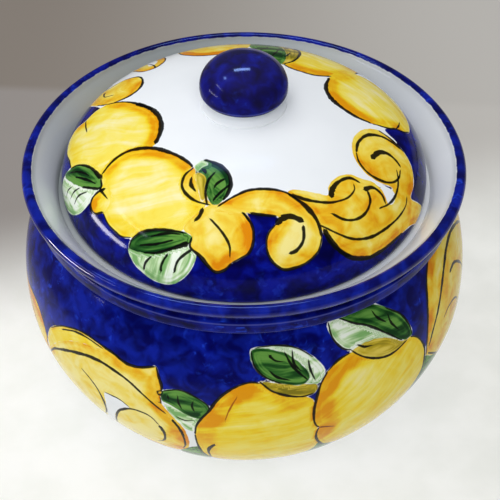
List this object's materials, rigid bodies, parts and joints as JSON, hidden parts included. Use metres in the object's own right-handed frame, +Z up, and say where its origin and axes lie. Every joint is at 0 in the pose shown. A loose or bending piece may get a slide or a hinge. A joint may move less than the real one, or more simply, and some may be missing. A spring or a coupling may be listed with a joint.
{
  "type": "biscuit jar",
  "caption": "Round-bellied glazed earthenware biscuit jar with a flared rim and a domed, knobbed lid that lifts off; painted with lemons, leaves and scrolls.",
  "frame": {"origin": "centre of the foot ring's underside, where the jar stands", "axes": "+Z up along the jar's axis; the jar is round, and -Y is the side that shows the front of the painting"},
  "size_m": [0.2114, 0.2114, 0.1866],
  "materials": {
    "jar_glaze": "gloss",
    "lid_glaze": "gloss",
    "knob_glaze": "gloss"
  },
  "bodies": {
    "jar": {"jar": "jar_glaze"},
    "lid": {"lid": "lid_glaze", "knob": "knob_glaze"}
  },
  "joints": [
    {"name": "lid_lift", "type": "slide", "parent": "jar", "child": "lid", "axis": [0, 0, 1], "range_m": [0, 0.1]}
  ]
}
